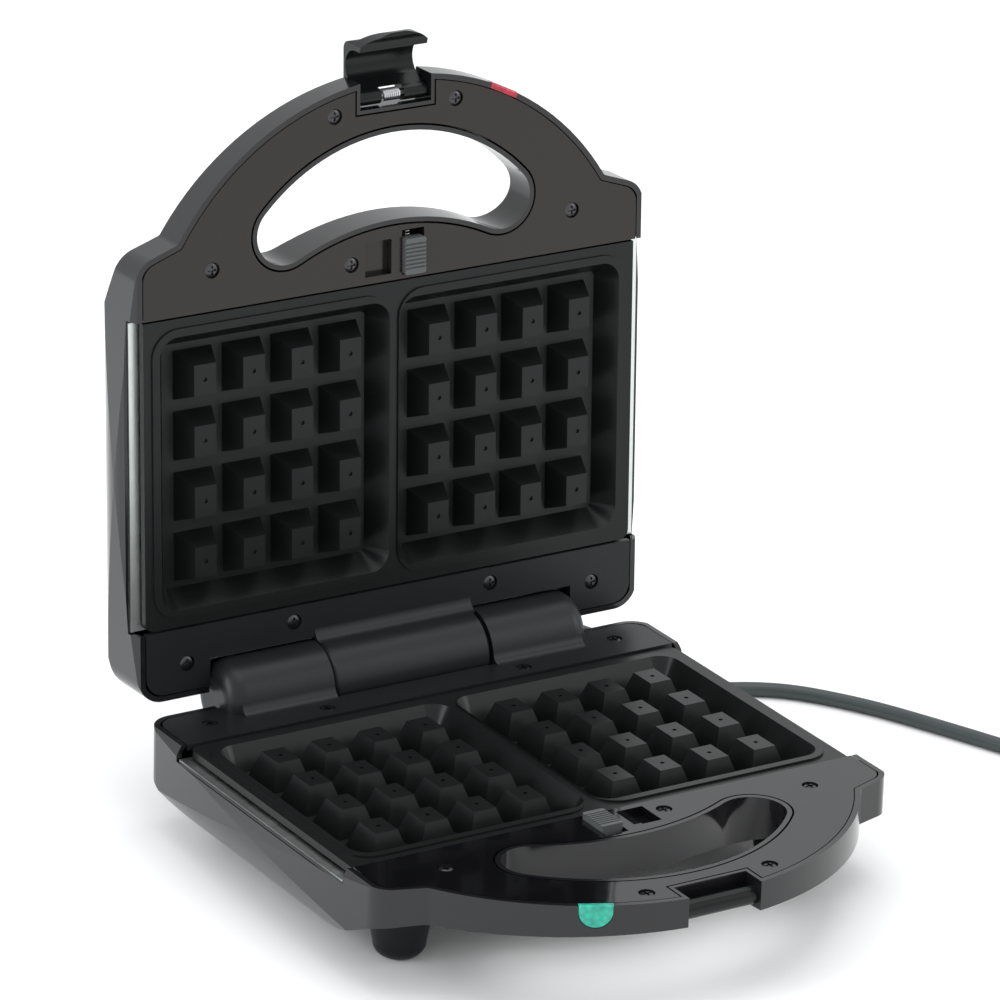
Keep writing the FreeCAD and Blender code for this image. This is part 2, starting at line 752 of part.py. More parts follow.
def make_front_bezel(half):
    """The panel over the handle, with finger opening, notch, screw seats, button window and pocket."""
    body = new_body(f"{half}_front_bezel_body")
    plan = new_sketch(body, "plan", "XY_Plane")
    draw_loop(plan, half_outline(D.bezel_inset))
    panel = pad(body, "panel", plan, Reversed=True, Length=D.bezel_thickness)
    round_outline(body, panel, D.bezel_inset)
    rear = new_sketch(body, "rear_part", "XY_Plane")
    draw_rectangle(rear, -D.half_width * 1.2, D.half_width * 1.2, -D.front_bezel_edge, D.rear_edge * 1.2)
    pocket(body, "rear_part_cut", rear, Length=D.bezel_thickness)
    opening = new_sketch(body, "opening", "XY_Plane")
    draw_opening(opening, D.wall + 0.5)
    pocket(body, "opening_cut", opening, Length=D.bezel_thickness)
    notch = new_sketch(body, "notch", "XY_Plane")
    notch_side = D.notch_half_width + D.wall
    draw_rectangle(notch, -notch_side, notch_side, -D.handle_tip * 1.1, D.wall - D.notch_floor)
    pocket(body, "notch_cut", notch, Length=D.bezel_thickness)
    stiffener = new_sketch(body, "pocket_floor", "XY_Plane", -D.bezel_thickness)
    edge = 1.3
    right = D.slot_inner + D.slot_width
    draw_rectangle(stiffener, D.slot_inner - edge, right + edge, -D.slot_front - edge, edge - D.slot_back)
    pad(body, "pocket_walls", stiffener, Reversed=True, Length=D.bezel_thickness)
    slot = new_sketch(body, "pocket", "XY_Plane")
    draw_rectangle(slot, D.slot_inner, right, -D.slot_front, -D.slot_back)
    pocket(body, "pocket_cut", slot, Length=D.slot_depth)
    window = new_sketch(body, "window", "XY_Plane")
    gap = D.running_gap
    left = -D.button_inner - D.button_width
    draw_rectangle(window, left - gap, gap - D.button_inner,
                   -D.button_front - D.button_stroke - gap, gap - D.button_back)
    pocket(body, "window_cut", window, Length=D.bezel_thickness)
    rails = new_sketch(body, "rails", "XY_Plane", -D.bezel_thickness)
    rail = 1.4
    for inner in (left - gap - rail, gap - D.button_inner):
        draw_rectangle(rails, inner, inner + rail, -D.spring_wall, -D.stem_back + gap)
    draw_rectangle(rails, left - gap - rail, gap - D.button_inner + rail, -D.spring_wall - rail,
                   -D.spring_wall)
    pad(body, "button_rails", rails, Reversed=True, Length=D.button_body)
    cut_screw_seats(body, screw_places(FRONT_SCREWS))
    seat(body, f"{half}_front_bezel", half)


def cut_screw_seats(body, places):
    gap = 0.2
    shanks = new_sketch(body, "shanks", "XY_Plane")
    heads = new_sketch(body, "heads", "XY_Plane")
    for x, y in places:
        draw_circle(shanks, x, y, D.screw_shank_radius + gap)
        draw_circle(heads, x, y, D.screw_head_radius + gap)
    pocket(body, "shank_holes", shanks, Length=D.bezel_thickness)
    pocket(body, "head_seats", heads, Length=D.screw_sink)


def make_rear_bezel(half):
    """The strip along the hinge. The base's carries two knuckles and the lid's carries the barrel."""
    body = new_body(f"{half}_rear_bezel_body")
    plan = new_sketch(body, "plan", "XY_Plane")
    draw_loop(plan, half_outline(D.bezel_inset))
    panel = pad(body, "panel", plan, Reversed=True, Length=D.bezel_thickness)
    round_outline(body, panel, D.bezel_inset)
    front = new_sketch(body, "front_part", "XY_Plane")
    draw_rectangle(front, -D.half_width * 1.2, D.half_width * 1.2, -D.handle_tip * 1.1, D.rear_bezel_edge)
    pocket(body, "front_part_cut", front, Length=D.bezel_thickness)
    room = new_sketch(body, "hinge_room", "XY_Plane")
    room_edge = D.hinge_edge - D.barrel_radius - D.barrel_clearance
    knuckle_start = D.barrel_half_width + D.hinge_side_gap
    if half == "base":
        draw_rectangle(room, -knuckle_start, knuckle_start, room_edge, D.rear_edge * 1.2)
        spans = [(knuckle_start, D.knuckle_end), (-D.knuckle_end, -knuckle_start)]
    else:
        for inner, outer in ((D.barrel_half_width, D.knuckle_end + D.hinge_side_gap),
                             (-D.knuckle_end - D.hinge_side_gap, -D.barrel_half_width)):
            draw_rectangle(room, inner, outer, room_edge, D.rear_edge * 1.2)
        spans = [(-D.barrel_half_width, D.barrel_half_width)]
    pocket(body, "hinge_room_cut", room, Length=D.bezel_thickness)
    for number, (start, end) in enumerate(spans):
        add_knuckle(body, half, number, start, end)
    cut_screw_seats(body, screw_places(REAR_SCREWS))
    bores = []
    fit = D.pin_fit
    for sign, name in ((1, "right"), (-1, "left")):
        start = D.pin_inner - 0.3
        length = D.pin_outer - D.pin_inner + 0.6
        left = start if sign > 0 else -start - length
        bores.append(rod(f"{half}_bore_{name}", D.pin_radius + fit, length, left, D.hinge_edge, D.hinge_rise))
    tools = joined(f"{half}_bores", "MultiFuse", bores)
    bezel = joined(f"{half}_rear_bezel_shape", "Cut", [body, tools])
    seat(bezel, f"{half}_rear_bezel", half)


def add_knuckle(body, half, number, start, end):
    """One rounded drum about the hinge axis with a hollow blend down to the panel."""
    sketch = new_sketch(body, f"drum_{number}", "XY_Plane", D.hinge_rise)
    sketch.AttachmentOffset.Base.y = D.hinge_edge.value
    sketch.setExpression("AttachmentOffset.Base.y", D.hinge_edge.text)
    radius = D.barrel_radius
    if half == "lid":
        cut = Size.of(1.5)
        outline = [(start, Size.of(0)), (start, cut - radius), (start + cut, -radius),
                   (end - cut, -radius), (end, cut - radius), (end, Size.of(0))]
    elif start.value > 0:
        round_ = D.knuckle_round
        outline = [(start, Size.of(0)), (start, -radius), (end - round_, -radius, round_),
                   (end, round_ - radius), (end, Size.of(0))]
    else:
        round_ = D.knuckle_round
        outline = [(start, Size.of(0)), (start, round_ - radius, round_), (start + round_, -radius),
                   (end, -radius), (end, Size.of(0))]
    draw_loop(sketch, outline)
    before = volume_of(body)
    drum = body.newObject("PartDesign::Revolution", f"{body.Name}_turned_{number}")
    drum.Profile = sketch
    drum.ReferenceAxis = (sketch, ["H_Axis"])
    drum.Angle = TURN
    if volume_of(body) <= before:
        raise RuntimeError("the hinge drum adds nothing")
    blend = D.blend_radius
    reach = blend + radius
    level = blend - D.hinge_rise
    across = square_root(reach * reach - level * level)
    foot = D.hinge_edge - across
    inset = Size.of(0) if half == "lid" else D.knuckle_round * 0.6
    left = start if start.value > 0 or half == "lid" else start + inset
    right = end - inset if start.value > 0 and half == "base" else end
    skirt = new_sketch(body, f"blend_{number}", "YZ_Plane", left)
    draw_loop(skirt, [(foot, Size.of(0), blend),
                      (D.hinge_edge - across * radius / reach, D.hinge_rise + level * radius / reach),
                      (D.hinge_edge, D.hinge_rise), (D.hinge_edge, -D.bezel_thickness / 2),
                      (foot, -D.bezel_thickness / 2)])
    pad(body, f"skirt_{number}", skirt, Length=right - left)


def make_hinge_pins():
    pins = []
    length = D.pin_outer - D.pin_inner
    for sign, name in ((1, "right"), (-1, "left")):
        left = D.pin_inner if sign > 0 else -D.pin_outer
        pin = rod(f"hinge_pin_{name}_rod", D.pin_radius, length, left, D.hinge_edge, D.hinge_rise)
        pins.append(pin)
    group = joined("hinge_pins_shape", "MultiFuse", pins)
    seat(group, "hinge_pins", "base")


def make_plate(half):
    """The lift-off cast plate: flange, bead round each cavity, drafted cavity and 4 x 4 pyramids."""
    body = new_body(f"{half}_plate_body")
    top = -D.plate_top
    flange = new_sketch(body, "flange", "XY_Plane", top)
    wide, deep = D.plate_half_width, D.plate_half_depth
    draw_rectangle(flange, -wide, wide, -deep, deep)
    feature = pad(body, "flange_pad", flange, Reversed=True, Length=D.plate_flange)
    fillet(body, "corners", feature, upright_near((wide.value, deep.value)), D.plate_corner)
    cavities = (("right", D.cavity_inner, D.cavity_outer), ("left", -D.cavity_outer, -D.cavity_inner))
    buried = 0.5
    for name, left, right in cavities:
        tub = new_sketch(body, f"tub_{name}", "XY_Plane", top - buried)
        draw_rounded(tub, left, right, D.cavity_half_depth, D.cavity_corner)
        pad(body, f"tub_{name}_pad", tub, Reversed=True,
            Length=D.cavity_floor + D.plate_skin - D.plate_top - buried, TaperAngle=-D.cavity_draft / 2)
        bead = new_sketch(body, f"bead_{name}", "XY_Plane", top)
        outer_left = left if name == "right" else left - D.bead_width
        outer_right = right if name == "left" else right + D.bead_width
        draw_rounded(bead, outer_left, outer_right, D.cavity_half_depth + D.bead_width,
                     D.cavity_corner + D.bead_width)
        pad(body, f"bead_{name}_pad", bead, Length=D.bead_height)
    for name, left, right in cavities:
        mouth = new_sketch(body, f"mouth_{name}", "XY_Plane", D.bead_height - D.plate_top)
        draw_rounded(mouth, left, right, D.cavity_half_depth, D.cavity_corner)
        pocket(body, f"mouth_{name}_cut", mouth, Length=D.cavity_floor + D.bead_height - D.plate_top,
               TaperAngle=-D.cavity_draft)
    add_pyramids(body)
    lips = new_sketch(body, "lips", "XY_Plane", -D.bezel_thickness - 0.4)
    draw_rectangle(lips, -D.button_inner - D.button_width + 1.2, -D.button_inner - 1.2,
                   -D.plate_half_depth - D.lip_reach, -D.plate_half_depth + 1)
    for sign in (1, -1):
        middle = D.plate_half_width * (0.55 * sign)
        draw_rectangle(lips, middle - D.lip_reach, middle + D.lip_reach, D.plate_half_depth - 1,
                       D.plate_half_depth + D.lip_reach * 0.6)
    pad(body, "lips_pad", lips, Reversed=True, Length=D.plate_flange + D.plate_top - D.bezel_thickness - 0.4)
    seat(body, f"{half}_plate", half)


def draw_rounded(sketch, left, right, half_depth, corner):
    """A rectangle with round corners, centred on y = 0."""
    draw_loop(sketch, [(left + corner, -half_depth), (right - corner, -half_depth, corner),
                       (right, corner - half_depth), (right, half_depth - corner, corner),
                       (right - corner, half_depth), (left + corner, half_depth, corner),
                       (left, half_depth - corner), (left, corner - half_depth, corner)])


def add_pyramids(body):
    """Fills each cavity with 4 x 4 blunt pyramids, each with a small dimple in its top."""
    sketch = new_sketch(body, "pyramid", "XY_Plane", -D.cavity_floor)
    left = D.cell_inner - D.cell_width / 2
    low = D.cell_pitch_along * -1.5 - D.cell_depth / 2
    draw_rectangle(sketch, left, left + D.cell_width, low, low + D.cell_depth)
    pyramid = pad(body, "pyramid_pad", sketch, Length=D.cavity_floor + D.cell_rise, TaperAngle=-D.cell_draft)
    spot = new_sketch(body, "dimple", "XY_Plane", D.cell_rise)
    draw_circle(spot, D.cell_inner, D.cell_pitch_along * -1.5, D.dimple_radius)
    dimple = pocket(body, "dimple_cut", spot, Length=D.dimple_depth)
    rows = body.newObject("PartDesign::MultiTransform", f"{body.Name}_pyramids")
    rows.Originals = [pyramid, dimple]
    steps = []
    for name, role, pitch in (("across", "X_Axis", D.cell_pitch_across), ("along", "Y_Axis", D.cell_pitch_along)):
        step = document.addObject("PartDesign::LinearPattern", f"{body.Name}_{name}")
        body.addObject(step)
        step.Direction = (origin_plane(body, role), [""])
        step.Occurrences = 4
        drive(step, Length=pitch * 3)
        steps.append(step)
    mirror = document.addObject("PartDesign::Mirrored", f"{body.Name}_mirror")
    body.addObject(mirror)
    mirror.MirrorPlane = (origin_plane(body, "YZ_Plane"), [""])
    rows.Transformations = [*steps, mirror]
    before = volume_of(body)
    body.Tip = rows
    if volume_of(body) <= before:
        raise RuntimeError("the pyramids add nothing")


def make_reflector(half):
    """The sheet pan under the plate, with a bare flange on the open sides."""
    body = new_body(f"{half}_reflector_body")
    top = -D.side_step + 0.9
    flange = new_sketch(body, "flange", "XY_Plane", top)
    draw_rectangle(flange, -D.pan_flange, D.pan_flange, -D.plate_half_depth, D.plate_half_depth)
    pad(body, "flange_pad", flange, Reversed=True, Length=D.pan_sheet)
    tub = new_sketch(body, "tub", "XY_Plane", top)
    wide, deep, sheet_ = D.pan_half_width, D.pan_half_depth, D.pan_sheet
    draw_rectangle(tub, -wide, wide, -deep, deep)
    pad(body, "tub_pad", tub, Reversed=True, Length=D.pan_floor + sheet_ + top)
    hollow = new_sketch(body, "hollow", "XY_Plane", top)
    draw_rectangle(hollow, sheet_ - wide, wide - sheet_, sheet_ - deep, deep - sheet_)
    pocket(body, "hollow_cut", hollow, Length=D.pan_floor + top)
    ports = new_sketch(body, "ports", "XY_Plane", -D.pan_floor)
    for sign in (1, -1):
        draw_circle(ports, D.terminal_across * sign, D.element_half_depth, D.terminal_radius * 2)
    pocket(body, "ports_cut", ports, Length=sheet_)
    rests = new_sketch(body, "rests", "XY_Plane", top)
    for x in (-0.8, -0.3, 0.3, 0.8):
        for y in (-1, 1):
            draw_circle(rests, D.pan_half_width * x, (D.pan_half_depth + D.plate_half_depth) / 2 * y,
                        D.rest_radius)
    pad(body, "rests_pad", rests, Length=-top - D.plate_flange - D.plate_top)
    seat(body, f"{half}_reflector", half)


def make_element(half):
    """The tubular heating element, a rounded loop with two terminals down through the pan."""
    body = new_body(f"{half}_element_body")
    level = D.element_level
    path = new_sketch(body, "route", "XY_Plane", -level)
    wide, deep, bend = D.element_half_width, D.element_half_depth, D.element_bend
    end = D.terminal_across - D.terminal_radius * 2.5
    draw_chain(path, [(end, deep), (wide - bend, deep, -bend), (wide, deep - bend), (wide, bend - deep, -bend),
                      (wide - bend, -deep), (bend - wide, -deep, -bend), (-wide, bend - deep),
                      (-wide, deep - bend, -bend), (bend - wide, deep), (-end, deep)])
    section = new_sketch(body, "section", "YZ_Plane", end)
    draw_circle(section, deep, -level, D.element_radius)
    tube = body.newObject("PartDesign::AdditivePipe", f"{body.Name}_tube")
    tube.Profile = section
    tube.Spine = path
    body.recompute(True)
    terminals = new_sketch(body, "terminals", "XY_Plane", -level)
    for sign in (1, -1):
        draw_circle(terminals, D.terminal_across * sign, deep, D.terminal_radius)
    pad(body, "terminals_pad", terminals, Reversed=True, Length=D.pan_floor - level + 4)
    seat(body, f"{half}_heating_element", half)
    clamps = []
    half_wide = D.clamp_width / 2
    for number, (x, y) in enumerate(((1, 1), (1, -1), (-1, 1), (-1, -1))):
        saddle = block(f"{half}_clamp_{number}", D.clamp_width, D.element_radius * 3,
                       D.pan_floor - level + D.element_radius * 0.8,
                       D.element_half_width / 2 * x - half_wide,
                       deep * y - D.element_radius * 1.5, -D.pan_floor)
        groove = rod(f"{half}_clamp_groove_{number}", D.element_radius + 0.05, D.clamp_width + 2,
                     D.element_half_width / 2 * x - half_wide - 1, deep * y, -level)
        clamps.append(joined(f"{half}_clamp_cut_{number}", "Cut", [saddle, groove]))
    group = joined(f"{half}_clamps", "MultiFuse", clamps)
    seat(group, f"{half}_element_clamps", half)


def draw_chain(sketch, corners):
    """Adds an open line of straights and arcs, written as in draw_loop."""
    points = [(Size.of(corner[0]), Size.of(corner[1])) for corner in corners]
    vectors = [FreeCAD.Vector(x.value, y.value, 0.0) for x, y in points]
    last_end = None
    for i in range(len(corners) - 1):
        start, end = vectors[i], vectors[i + 1]
        if len(corners[i]) > 2:
            bend = Size.of(corners[i][2])
            index = sketch.addGeometry(arc_between(start, end, bend.value), False)
            ends = (1, 2) if bend.value > 0 else (2, 1)
        else:
            index = sketch.addGeometry(Part.LineSegment(start, end), False)
            ends = (1, 2)
        if last_end:
            sketch.addConstraint(Sketcher.Constraint("Coincident", *last_end, index, ends[0]))
        fix_point(sketch, index, ends[0], *points[i])
        last_end = (index, ends[1])
    fix_point(sketch, *last_end, *points[-1])


def make_controls():
    """Thermostat, thermal fuse and terminal block, all in the base under the pan."""
    under = -D.pan_floor - D.pan_sheet
    disc = rod("thermostat_can", D.thermostat_radius, D.thermostat_radius * 0.8, D.element_half_width / 2, 0,
               under - D.thermostat_radius * 0.8, angle=0)
    seat_part(disc, "thermostat", D.element_half_width / 2, Size.of(0), under - D.thermostat_radius * 0.8)
    fuse = rod("thermal_fuse_can", D.fuse_radius, D.fuse_radius * 6, 0, 0, 0)
    seat_part(fuse, "thermal_fuse", -D.element_half_width / 2, D.fuse_radius * 4,
              under - D.fuse_radius, (0, 1, 0), RIGHT_ANGLE)
    body = new_body("terminal_block_body")
    plan = new_sketch(body, "plan", "XY_Plane")
    draw_rectangle(plan, -D.terminal_block / 2, D.terminal_block / 2, -D.terminal_block / 4, D.terminal_block / 4)
    pad(body, "block", plan, Length=D.terminal_block * 0.4)
    wells = new_sketch(body, "wells", "XY_Plane", D.terminal_block * 0.4)
    for sign in (1, -1):
        draw_circle(wells, D.terminal_block / 4 * sign, 0, D.terminal_block / 10)
    pocket(body, "wells_cut", wells, Length=D.terminal_block * 0.3)
    seat(body, "terminal_block", "base", D.relief_along - D.terminal_block, D.rear_bezel_edge + 3, -25.2)


def seat_part(target, label, x, y, z, axis=(0, 0, 1), angle=0.0):
    seat(target, label, "base", x, y, z, axis, angle)


def make_feet(outer):
    """Four round feet with a peg that holds each one in the bottom of the base."""
    for x, y, name in FOOT_PLACES:
        body = new_body(f"foot_{name}_body")
        sketch = new_sketch(body, "section", "XZ_Plane")
        floor = -D.bezel_height
        rounding = D.foot_round
        draw_loop(sketch, [(Size.of(0), floor), (D.foot_bottom_radius - rounding, floor, rounding),
                           (D.foot_bottom_radius, floor + rounding), (D.foot_top_radius, floor + D.foot_depth),
                           (Size.of(0), floor + D.foot_depth)])
        turned = body.newObject("PartDesign::Revolution", f"{body.Name}_turned")
        turned.Profile = sketch
        turned.ReferenceAxis = (sketch, ["V_Axis"])
        turned.Angle = TURN
        place(body, x, y, 0.0)
        body.recompute(True)
        cut = joined(f"foot_{name}_cut", "Cut", [body, outer])
        peg = rod(f"foot_{name}_peg", D.foot_peg_radius, D.foot_depth * 0.5, x, y,
                  floor + D.foot_depth * 0.3, angle=0)
        seat(joined(f"foot_{name}_shape", "MultiFuse", [cut, peg]), f"foot_{name}", "base")


def make_latch():
    """The latch with its thumb piece, hanging open on its pin in the lid's notch."""
    pivot_y, pivot_z = -D.latch_pivot_edge, -D.latch_pivot_depth
    body = new_body("latch_body")
    side = new_sketch(body, "side", "YZ_Plane", -D.latch_half_width)
    hub = D.latch_hub_radius
    around = [(0, -hub, hub), (hub, 0, hub), (0, hub, hub), (-hub, 0), *LATCH_PROFILE]
    draw_loop(side, [(pivot_y + corner[0], pivot_z + corner[1], *corner[2:]) for corner in around])
    pad(body, "strip", side, Length=D.latch_half_width * 2)
    thumb = new_sketch(body, "thumb", "XY_Plane", D.latch_half_width)
    edge, tip, far = pivot_y - D.thumb_edge, pivot_y - D.thumb_tip, pivot_y - D.thumb_tip * 1.5
    wide = D.latch_half_width
    sag = edge - tip
    round_ = (wide * wide + sag * sag) / (sag * 2)
    draw_loop(thumb, [(-wide * 1.2, far), (wide * 1.2, far), (wide * 1.2, edge), (wide, edge, -round_),
                      (Size.of(0), tip, -round_), (-wide, edge), (-wide * 1.2, edge)])
    pocket(body, "thumb_cut", thumb, Length=D.latch_half_width * 3)
    room = new_sketch(body, "spring_room", "XY_Plane", D.latch_half_width)
    draw_rectangle(room, -D.latch_spring_room, D.latch_spring_room, pivot_y - hub - 0.1, pivot_y + hub * 2)
    pocket(body, "spring_room_cut", room, Length=D.latch_half_width * 3)
    bore = new_sketch(body, "bore", "YZ_Plane", -D.latch_half_width)
    draw_circle(bore, pivot_y, pivot_z, D.latch_pin_radius + D.pin_fit)
    pocket(body, "bore_cut", bore, Reversed=True, Length=D.latch_half_width * 2)
    seat(body, "latch", "lid")
    reach = D.notch_half_width + D.wall - 1.1
    for label, half, radius, y, z in (
            ("latch_pin", "lid", D.latch_pin_radius, pivot_y, pivot_z),
            ("latch_catch_bar", "base", D.catch_radius, -D.catch_edge, -D.catch_depth)):
        bar = document.addObject("Part::Cylinder", f"{label}_rod")
        drive(bar, Radius=radius, Height=reach * 2)
        seat(bar, label, half, -reach, y, z, (0, 1, 0), RIGHT_ANGLE)


def make_spring(label, half, radius, wire, length, turns, x, y, z, axis, angle):
    """A coil spring about a line that starts at x, y, z."""
    body = new_body(f"{label}_body")
    sketch = new_sketch(body, "wire", "XZ_Plane")
    draw_circle(sketch, radius, wire, wire)
    coil = body.newObject("PartDesign::AdditiveHelix", f"{body.Name}_coil")
    coil.Profile = sketch
    coil.ReferenceAxis = (sketch, ["V_Axis"])
    coil.Mode = "height-turns-angle"
    drive(coil, Height=length - wire * 2)
    coil.Turns = turns
    body.recompute(True)
    seat(body, label, half, x, y, z, axis, angle)


def make_button(half):
    """The plate-release button: ribbed slab in the panel's window, stem and foot between the rails."""
    body = new_body(f"{half}_release_button_body")
    right = -D.button_inner
    left = right - D.button_width
    slab = new_sketch(body, "slab", "XY_Plane", D.button_rise)
    draw_rectangle(slab, left, right, -D.button_front, -D.button_back)
    top = pad(body, "slab_pad", slab, Reversed=True, Length=D.button_rise + D.bezel_thickness)
    fillet(body, "corners", top, lambda edge, middle, along: abs(along.z) > 0.99, 1.0)
    grooves = new_sketch(body, "grooves", "XY_Plane", D.button_rise)
    for number in range(7):
        low = -D.button_front + D.rib_pitch * (number + 1.2)
        draw_rectangle(grooves, left - 1, right + 1, low, low + D.rib_pitch / 2)
    pocket(body, "grooves_cut", grooves, Length=D.rib_height)
    stem = new_sketch(body, "stem", "XY_Plane", -D.bezel_thickness)
    draw_rectangle(stem, left, right, -D.stem_front, -D.stem_back)
    pad(body, "stem_pad", stem, Reversed=True, Length=D.button_body + 0.3)
    foot = new_sketch(body, "foot", "XY_Plane", -D.bezel_thickness - D.button_body - 0.3)
    draw_rectangle(foot, left - 1.5, right + 1.5, -D.stem_front, -D.stem_back)
    pad(body, "foot_pad", foot, Reversed=True, Length=1.4)
    seat(body, f"{half}_release_button", half)
    make_spring(f"{half}_release_spring", half, D.spring_radius, D.spring_wire,
                D.spring_wall - D.stem_front - 0.1, 6, (left + right) / 2, -D.stem_front - 0.05,
                -D.bezel_thickness - D.button_body / 2, (1, 0, 0), RIGHT_ANGLE)


def make_screws():
    """One cross-head screw, copied to every screw place of each panel."""
    body = new_body("screw_body")
    section = new_sketch(body, "section", "XZ_Plane")
    head, shank = D.screw_head_radius, D.screw_shank_radius
    height = D.screw_head_height
    draw_loop(section, [(Size.of(0), -D.screw_length), (shank, -D.screw_length), (shank, Size.of(0)),
                        (head, Size.of(0)), (head, height * 0.4, head * 1.4), (Size.of(0), height)])
    turned = body.newObject("PartDesign::Revolution", "screw_turned")
    turned.Profile = section
    turned.ReferenceAxis = (section, ["V_Axis"])
    turned.Angle = TURN
    body.recompute(True)
    cross = new_sketch(body, "cross", "XY_Plane", height + 1)
    long_, short = head * 0.6, head * 0.16
    draw_loop(cross, [(-long_, -short), (-short, -short), (-short, -long_), (short, -long_), (short, -short),
                      (long_, -short), (long_, short), (short, short), (short, long_), (-short, long_),
                      (-short, short), (-long_, short)])
    pocket(body, "cross_cut", cross, Length=height * 0.8 + 1)
    for half in HALVES:
        for name, group in (("front", FRONT_SCREWS), ("rear", REAR_SCREWS)):
            copies = []
            for x, y in screw_places(group):
                copy = body.Shape.copy()
                copy.translate(FreeCAD.Vector(x, y, -D.screw_sink.value))
                copies.append(copy)
            screws = document.addObject("Part::Feature", f"{half}_{name}_screws_shape")
            screws.Shape = Part.makeCompound(copies)
            seat(screws, f"{half}_{name}_screws", half)


def lead_path():
    """The middle line of the free lead: straight runs joined by arcs."""
    floor = -D.bezel_height.value
    start = FreeCAD.Vector(D.relief_along.value, (D.rear_edge + D.relief_length).value, -D.relief_depth.value)
    points = [start] + [FreeCAD.Vector(x, y, floor + height) for x, y, height in CORD_ROUTE]
    edges = []
    last = points[0]
    total = 0.0
    for before, corner, after in zip(points, points[1:], points[2:]):
        arriving = corner - before
        leaving = after - corner
        half_turn = arriving.getAngle(leaving) / 2.0
        shorter = min(arriving.Length, leaving.Length)
        reach = 0.45 * shorter
        radius = reach / math.tan(half_turn)
        print(f"lead corner at {corner.x:.0f}, {corner.y:.0f}: radius {radius:.1f}, run {leaving.Length:.1f}")
        enter = corner - FreeCAD.Vector(arriving).normalize() * reach
        leave = corner + FreeCAD.Vector(leaving).normalize() * reach
        inward = (FreeCAD.Vector(leaving).normalize() - FreeCAD.Vector(arriving).normalize()).normalize()
        crown = corner + inward * (radius / math.cos(half_turn) - radius)
        edges.append(Part.LineSegment(last, enter).toShape())
        arc = Part.Arc(enter, crown, leave).toShape()
        edges.append(arc)
        total += (enter - last).Length + arc.Length
        last = leave
    edges.append(Part.LineSegment(last, points[-1]).toShape())
    total += (points[-1] - last).Length
    return Part.Wire(edges), points, total


def make_lead():
    """Strain relief, free lead, the coil of spare lead, its tie and the plug."""
    wire, points, total = lead_path()
    cord = D.cord_radius.value
    section = Part.Wire([Part.makeCircle(cord, points[0], points[1] - points[0])])
    tube = wire.makePipeShell([section], True, True)
    expected = math.pi * cord * cord * total
    print(f"lead length {total:.1f}, volume {tube.Volume:.0f}, expected {expected:.0f}")
    lead = document.addObject("Part::Feature", "mains_lead_shape")
    lead.Shape = tube
    seat(lead, "mains_lead", "base")

    relief = new_body("strain_relief_body")
    side = new_sketch(relief, "section", "XZ_Plane")
    draw_loop(side, [(Size.of(0), -D.wall * 2), (D.relief_base_radius, -D.wall * 2),
                     (D.relief_base_radius, D.wall * 1.5), (D.relief_tip_radius, D.relief_length),
                     (Size.of(0), D.relief_length)])
    turned = relief.newObject("PartDesign::Revolution", "strain_relief_turned")
    turned.Profile = side
    turned.ReferenceAxis = (side, ["V_Axis"])
    turned.Angle = TURN
    relief.recompute(True)
    seat(relief, "strain_relief", "base", D.relief_along, D.rear_edge, -D.relief_depth, (1, 0, 0), -RIGHT_ANGLE)

    centre = FreeCAD.Vector(*COIL_CENTRE, 0)
    coil = new_body("lead_coil_body")
    across = new_sketch(coil, "section", "XZ_Plane")
    middle, half_wide, tall = D.coil_middle_radius, D.coil_half_width, D.coil_height
    bend = D.cord_radius
    draw_loop(across, [(middle - half_wide, bend, bend), (middle - half_wide + bend, Size.of(0)),
                       (middle + half_wide - bend, Size.of(0), bend), (middle + half_wide, bend),
                       (middle + half_wide, tall - bend, bend), (middle + half_wide - bend, tall),
                       (middle - half_wide + bend, tall, bend), (middle - half_wide, tall - bend)])
    turned = coil.newObject("PartDesign::Revolution", "lead_coil_turned")
    turned.Profile = across
    turned.ReferenceAxis = (across, ["V_Axis"])
    turned.Angle = TURN
    coil.recompute(True)
    seat(coil, "lead_coil", "base", centre.x, centre.y, -D.bezel_height)

    tie = new_body("lead_tie_body")
    band = new_sketch(tie, "band", "XZ_Plane", -D.tie_width / 2)
    gap = Size.of(0.05)
    draw_rectangle(band, middle - half_wide - gap - 1, middle + half_wide + gap + 1, Size.of(0), tall + gap + 1)
    pad(tie, "band_pad", band, Length=D.tie_width)
    tie_cut = joined("lead_tie_shape", "Cut", [tie, coil_gauge(gap)])
    seat(tie_cut, "lead_tie", "base", centre.x, centre.y, -D.bezel_height, angle=RIGHT_ANGLE)


def coil_gauge(gap):
    """The coil's envelope, used to shape the tie."""
    body = new_body("coil_gauge")
    section = new_sketch(body, "section", "XZ_Plane")
    middle, half_wide, tall = D.coil_middle_radius, D.coil_half_width, D.coil_height
    draw_rectangle(section, middle - half_wide - gap, middle + half_wide + gap, -1, tall + gap)
    turned = body.newObject("PartDesign::Revolution", "coil_gauge_turned")
    turned.Profile = section
    turned.ReferenceAxis = (section, ["V_Axis"])
    turned.Angle = TURN
    body.recompute(True)
    return body


